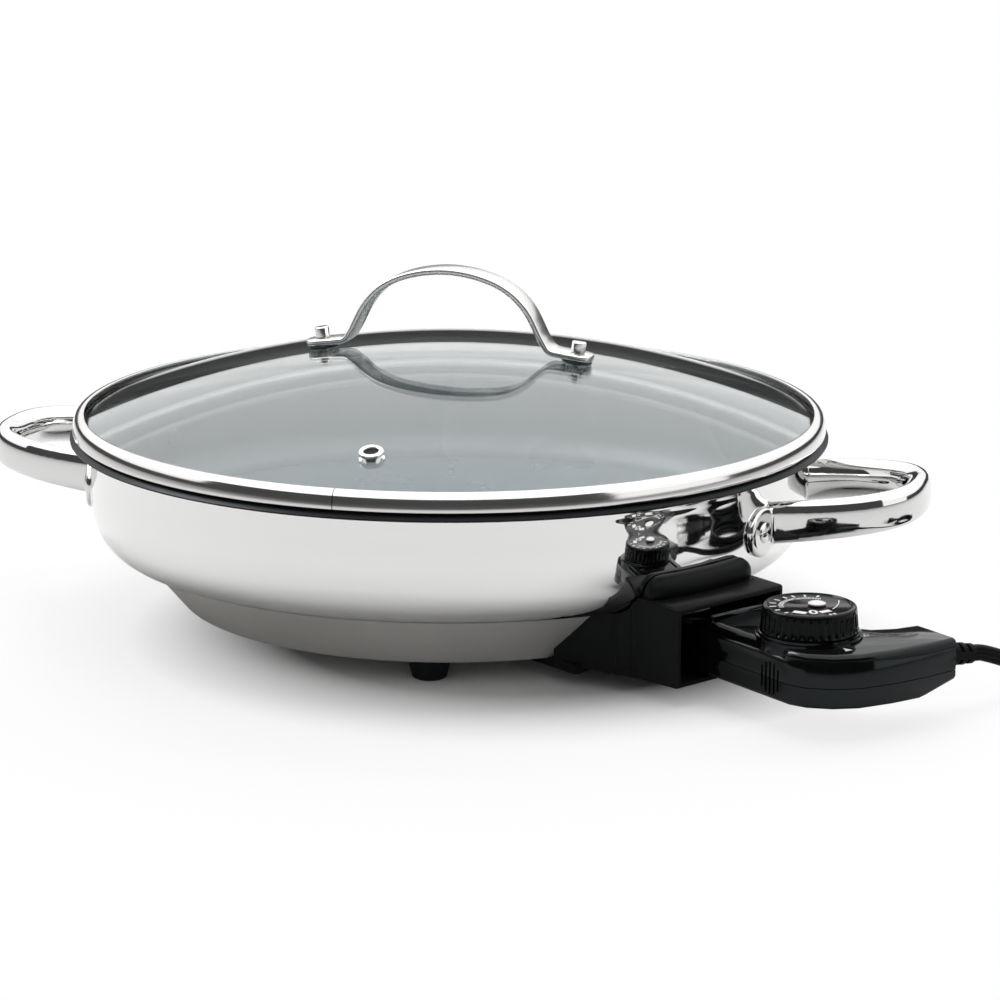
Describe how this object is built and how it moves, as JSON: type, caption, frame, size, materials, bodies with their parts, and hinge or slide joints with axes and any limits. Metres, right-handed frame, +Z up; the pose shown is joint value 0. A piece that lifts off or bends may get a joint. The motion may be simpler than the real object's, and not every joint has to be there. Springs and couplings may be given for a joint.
{
  "type": "electric skillet",
  "caption": "Round steel electric skillet with two loop handles, a lift-off domed glass lid with a strap handle, a probe guard and a pull-out dial probe with its coiled cord.",
  "frame": {"origin": "on the surface the feet stand on, under the middle of the skillet and probe's footprint, the cord left out", "axes": "+X along the two side handles and the lid's strap, towards the probe's side, -Y towards the viewer, +Z up"},
  "size_m": [0.5531, 0.3222, 0.149],
  "materials": {
    "polished_steel": "mirror-polished stainless steel",
    "satin_steel": "bright satin stainless steel",
    "satin_base": "satin steel sheet",
    "cast_aluminium": "as cast",
    "heater_sheath": "dark oxidised sheath",
    "brass": "plain",
    "glass": "clear tempered glass",
    "ceramic": "unglazed steatite",
    "matte_black": "fine matte moulding",
    "gloss_black": "glossy moulding",
    "black_rubber": "soft moulding",
    "white_lens": "translucent lens"
  },
  "bodies": {
    "skillet": {"pan": "polished_steel", "base_cover": "satin_base", "heat_plate": "cast_aluminium", "heating_element": "heater_sheath", "terminal_block": "ceramic", "sensor_well": "satin_steel", "terminal_pin_left": "satin_steel", "terminal_pin_right": "satin_steel", "probe_guard": "matte_black", "guard_screw_1": "satin_steel", "guard_screw_2": "satin_steel", "side_handle_right": "polished_steel", "side_handle_left": "polished_steel", "foot_1": "black_rubber", "foot_screw_1": "satin_steel", "handle_rivet_1": "polished_steel", "foot_2": "black_rubber", "foot_screw_2": "satin_steel", "handle_rivet_2": "polished_steel", "foot_3": "black_rubber", "foot_screw_3": "satin_steel", "handle_rivet_3": "polished_steel", "foot_4": "black_rubber", "foot_screw_4": "satin_steel", "handle_rivet_4": "polished_steel"},
    "lid": {"lid_glass": "glass", "lid_rim": "satin_steel", "lid_strap": "satin_steel", "strap_bolt_left": "satin_steel", "strap_bolt_right": "satin_steel", "strap_nut_left": "satin_steel", "strap_nut_right": "satin_steel", "strap_gasket_left": "black_rubber", "strap_gasket_right": "black_rubber", "vent_grommet": "satin_steel"},
    "probe": {"probe_upper_shell": "gloss_black", "probe_lower_shell": "gloss_black", "housing_screw_1": "satin_steel", "housing_screw_2": "satin_steel", "sensing_rod": "satin_steel", "contact_sleeve_left": "brass", "contact_sleeve_right": "brass", "thermostat_frame": "satin_steel", "contact_arm": "brass", "strain_relief": "black_rubber", "power_cord": "black_rubber", "cord_coil": "black_rubber", "cord_tie": "matte_black", "plug": "black_rubber", "plug_blade_left": "brass", "plug_blade_right": "brass"},
    "dial_knob": {"dial": "gloss_black", "dial_lens": "white_lens", "dial_shaft": "satin_steel"}
  },
  "joints": [
    {"name": "lid_lift", "type": "slide", "parent": "skillet", "child": "lid", "axis": [0, 0, 1], "range_m": [0, 0.15]},
    {"name": "probe_pull", "type": "slide", "parent": "skillet", "child": "probe", "axis": [0.8453, -0.5344, 0], "range_m": [0, 0.08]},
    {"name": "dial_turn", "type": "hinge", "parent": "probe", "child": "dial_knob", "pos_m": [0.16253, -0.11328, 0.036], "axis": [0, 0, 1], "range_deg": [-300, 0]}
  ]
}
